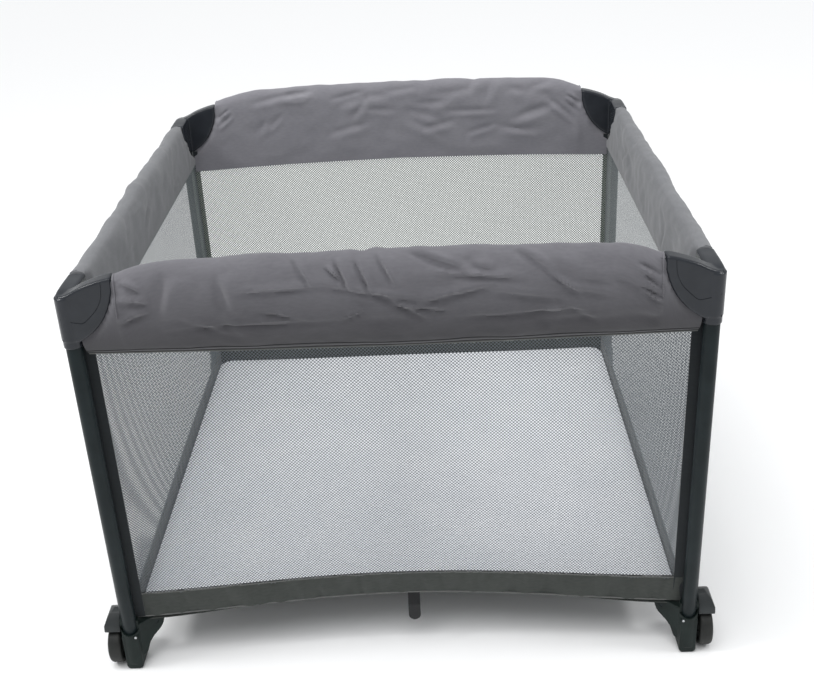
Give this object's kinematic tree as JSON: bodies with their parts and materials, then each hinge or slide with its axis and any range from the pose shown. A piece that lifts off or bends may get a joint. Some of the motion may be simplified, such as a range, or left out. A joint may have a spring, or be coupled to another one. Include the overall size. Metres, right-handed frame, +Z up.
{
  "type": "folding playpen",
  "caption": "Square folding playpen with net walls, padded top rails, corner castings, padded floor, a folding floor cross and two wheels.",
  "frame": {"origin": "on the floor, under the middle of the footprint", "axes": "+Z up, the front side with the wheels faces -Y, +X runs to the right as seen from the front"},
  "size_m": [1.05, 0.9936, 0.762],
  "materials": {
    "leg_paint": "satin powder coat",
    "casting_grey": "moulded, semi-gloss",
    "foot_black": "moulded, matt",
    "fender_grey": "moulded, matt",
    "wheel_black": "moulded, matt",
    "steel": "zinc plated",
    "hub_black": "moulded, matt",
    "button_red": "moulded, satin",
    "cover_cloth": "woven polyester",
    "net_cloth": "warp-knitted net",
    "floor_cloth": "woven polyester",
    "pad_cloth": "woven polyester over thin foam",
    "webbing_black": "narrow woven webbing"
  },
  "bodies": {
    "corner_fl": {"leg_fl": "leg_paint", "casting_fl": "casting_grey", "foot_fl": "foot_black", "fender_fl": "fender_grey", "axle_fl": "steel", "wall_front": "net_cloth", "wall_left": "net_cloth"},
    "corner_fr": {"leg_fr": "leg_paint", "casting_fr": "casting_grey", "foot_fr": "foot_black", "fender_fr": "fender_grey", "axle_fr": "steel", "wall_right": "net_cloth"},
    "corner_bl": {"leg_bl": "leg_paint", "casting_bl": "casting_grey", "foot_bl": "foot_black", "wall_rear": "net_cloth"},
    "corner_br": {"leg_br": "leg_paint", "casting_br": "casting_grey", "foot_br": "foot_black"},
    "tube_fl": {"floor_tube_fl": "leg_paint", "floor_fl": "floor_cloth", "mattress_fl": "pad_cloth"},
    "tube_fr": {"floor_tube_fr": "leg_paint", "floor_fr": "floor_cloth", "mattress_fr": "pad_cloth", "strap_tab": "webbing_black"},
    "tube_bl": {"floor_tube_bl": "leg_paint", "floor_bl": "floor_cloth", "mattress_bl": "pad_cloth"},
    "tube_br": {"floor_tube_br": "leg_paint", "floor_br": "floor_cloth", "mattress_br": "pad_cloth"},
    "hub": {"hub": "hub_black"},
    "front_a": {"rail_front_a": "leg_paint", "cover_front_a": "cover_cloth"},
    "front_b": {"rail_front_b": "leg_paint", "cover_front_b": "cover_cloth"},
    "front_latch": {"latch_front": "hub_black"},
    "front_button": {"button_front": "button_red"},
    "rear_a": {"rail_rear_a": "leg_paint", "cover_rear_a": "cover_cloth"},
    "rear_b": {"rail_rear_b": "leg_paint", "cover_rear_b": "cover_cloth"},
    "rear_latch": {"latch_rear": "hub_black"},
    "rear_button": {"button_rear": "button_red"},
    "left_a": {"rail_left_a": "leg_paint", "cover_left_a": "cover_cloth"},
    "left_b": {"rail_left_b": "leg_paint", "cover_left_b": "cover_cloth"},
    "left_latch": {"latch_left": "hub_black"},
    "left_button": {"button_left": "button_red"},
    "right_a": {"rail_right_a": "leg_paint", "cover_right_a": "cover_cloth"},
    "right_b": {"rail_right_b": "leg_paint", "cover_right_b": "cover_cloth"},
    "right_latch": {"latch_right": "hub_black"},
    "right_button": {"button_right": "button_red"},
    "wheel_fl": {"wheel_fl": "wheel_black"},
    "wheel_fr": {"wheel_fr": "wheel_black"}
  },
  "joints": [
    {"name": "fold", "type": "hinge", "parent": "corner_fl", "child": "tube_fl", "pos_m": [-0.44747, -0.44747, 0.074], "axis": [0.7071, -0.7071, 0], "range_deg": [0, 80], "deforming": ["cover_front_a", "cover_front_b", "cover_rear_a", "cover_rear_b", "cover_left_a", "cover_left_b", "cover_right_a", "cover_right_b", "wall_front", "wall_rear", "wall_left", "wall_right", "floor_fl", "floor_fr", "floor_bl", "floor_br", "mattress_fl", "mattress_fr", "mattress_bl", "mattress_br", "strap_tab"]},
    {"name": "hub_level", "type": "hinge", "parent": "tube_fl", "child": "hub", "pos_m": [-0.06147, -0.06147, 0.074], "axis": [0.7071, -0.7071, 0], "range_deg": [-80, 0]},
    {"name": "hub_fr", "type": "hinge", "parent": "hub", "child": "tube_fr", "pos_m": [0.06147, -0.06147, 0.074], "axis": [0.7071, 0.7071, 0], "range_deg": [0, 80]},
    {"name": "lug_fr", "type": "hinge", "parent": "tube_fr", "child": "corner_fr", "pos_m": [0.44747, -0.44747, 0.074], "axis": [0.7071, 0.7071, 0], "range_deg": [-80, 0]},
    {"name": "hub_bl", "type": "hinge", "parent": "hub", "child": "tube_bl", "pos_m": [-0.06147, 0.06147, 0.074], "axis": [-0.7071, -0.7071, 0], "range_deg": [0, 80]},
    {"name": "lug_bl", "type": "hinge", "parent": "tube_bl", "child": "corner_bl", "pos_m": [-0.44747, 0.44747, 0.074], "axis": [-0.7071, -0.7071, 0], "range_deg": [-80, 0]},
    {"name": "hub_br", "type": "hinge", "parent": "hub", "child": "tube_br", "pos_m": [0.06147, 0.06147, 0.074], "axis": [-0.7071, 0.7071, 0], "range_deg": [0, 80]},
    {"name": "lug_br", "type": "hinge", "parent": "tube_br", "child": "corner_br", "pos_m": [0.44747, 0.44747, 0.074], "axis": [-0.7071, 0.7071, 0], "range_deg": [-80, 0]},
    {"name": "rail_front_a", "type": "hinge", "parent": "corner_fl", "child": "front_a", "pos_m": [-0.42, -0.48, 0.722], "axis": [0, 1, 0], "range_deg": [0, 80]},
    {"name": "latch_front_level", "type": "hinge", "parent": "front_a", "child": "front_latch", "pos_m": [-0.034, -0.48, 0.722], "axis": [0, 1, 0], "range_deg": [-80, 0]},
    {"name": "rail_front_b", "type": "hinge", "parent": "front_latch", "child": "front_b", "pos_m": [0.034, -0.48, 0.722], "axis": [0, -1, 0], "range_deg": [0, 80]},
    {"name": "rail_rear_a", "type": "hinge", "parent": "corner_bl", "child": "rear_a", "pos_m": [-0.42, 0.48, 0.722], "axis": [0, 1, 0], "range_deg": [0, 80]},
    {"name": "latch_rear_level", "type": "hinge", "parent": "rear_a", "child": "rear_latch", "pos_m": [-0.034, 0.48, 0.722], "axis": [0, 1, 0], "range_deg": [-80, 0]},
    {"name": "rail_rear_b", "type": "hinge", "parent": "rear_latch", "child": "rear_b", "pos_m": [0.034, 0.48, 0.722], "axis": [0, -1, 0], "range_deg": [0, 80]},
    {"name": "rail_left_a", "type": "hinge", "parent": "corner_fl", "child": "left_a", "pos_m": [-0.48, -0.42, 0.701], "axis": [-1, 0, 0], "range_deg": [0, 80]},
    {"name": "latch_left_level", "type": "hinge", "parent": "left_a", "child": "left_latch", "pos_m": [-0.48, -0.034, 0.701], "axis": [-1, 0, 0], "range_deg": [-80, 0]},
    {"name": "rail_left_b", "type": "hinge", "parent": "left_latch", "child": "left_b", "pos_m": [-0.48, 0.034, 0.701], "axis": [1, 0, 0], "range_deg": [0, 80]},
    {"name": "rail_right_a", "type": "hinge", "parent": "corner_fr", "child": "right_a", "pos_m": [0.48, -0.42, 0.701], "axis": [-1, 0, 0], "range_deg": [0, 80]},
    {"name": "latch_right_level", "type": "hinge", "parent": "right_a", "child": "right_latch", "pos_m": [0.48, -0.034, 0.701], "axis": [-1, 0, 0], "range_deg": [-80, 0]},
    {"name": "rail_right_b", "type": "hinge", "parent": "right_latch", "child": "right_b", "pos_m": [0.48, 0.034, 0.701], "axis": [1, 0, 0], "range_deg": [0, 80]},
    {"name": "button_front", "type": "slide", "parent": "front_latch", "child": "front_button", "axis": [0, 0, 1], "range_m": [0, 0.006], "stiffness_N_per_m": 600, "springref_m": -0.003},
    {"name": "button_rear", "type": "slide", "parent": "rear_latch", "child": "rear_button", "axis": [0, 0, 1], "range_m": [0, 0.006], "stiffness_N_per_m": 600, "springref_m": -0.003},
    {"name": "button_left", "type": "slide", "parent": "left_latch", "child": "left_button", "axis": [0, 0, 1], "range_m": [0, 0.006], "stiffness_N_per_m": 600, "springref_m": -0.003},
    {"name": "button_right", "type": "slide", "parent": "right_latch", "child": "right_button", "axis": [0, 0, 1], "range_m": [0, 0.006], "stiffness_N_per_m": 600, "springref_m": -0.003},
    {"name": "wheel_fl", "type": "hinge", "parent": "corner_fl", "child": "wheel_fl", "pos_m": [-0.48, -0.4608, 0.036], "axis": [1, 0, 0], "continuous": true},
    {"name": "wheel_fr", "type": "hinge", "parent": "corner_fr", "child": "wheel_fr", "pos_m": [0.48, -0.4608, 0.036], "axis": [1, 0, 0], "continuous": true}
  ],
  "couplings": [
    {"joint": "hub_level", "follows": "fold", "ratio": -1},
    {"joint": "hub_fr", "follows": "fold", "ratio": 1},
    {"joint": "lug_fr", "follows": "fold", "ratio": -1},
    {"joint": "hub_bl", "follows": "fold", "ratio": 1},
    {"joint": "lug_bl", "follows": "fold", "ratio": -1},
    {"joint": "hub_br", "follows": "fold", "ratio": 1},
    {"joint": "lug_br", "follows": "fold", "ratio": -1},
    {"joint": "rail_front_a", "follows": "fold", "ratio": 1},
    {"joint": "latch_front_level", "follows": "fold", "ratio": -1},
    {"joint": "rail_front_b", "follows": "fold", "ratio": 1},
    {"joint": "rail_rear_a", "follows": "fold", "ratio": 1},
    {"joint": "latch_rear_level", "follows": "fold", "ratio": -1},
    {"joint": "rail_rear_b", "follows": "fold", "ratio": 1},
    {"joint": "rail_left_a", "follows": "fold", "ratio": 1},
    {"joint": "latch_left_level", "follows": "fold", "ratio": -1},
    {"joint": "rail_left_b", "follows": "fold", "ratio": 1},
    {"joint": "rail_right_a", "follows": "fold", "ratio": 1},
    {"joint": "latch_right_level", "follows": "fold", "ratio": -1},
    {"joint": "rail_right_b", "follows": "fold", "ratio": 1}
  ]
}
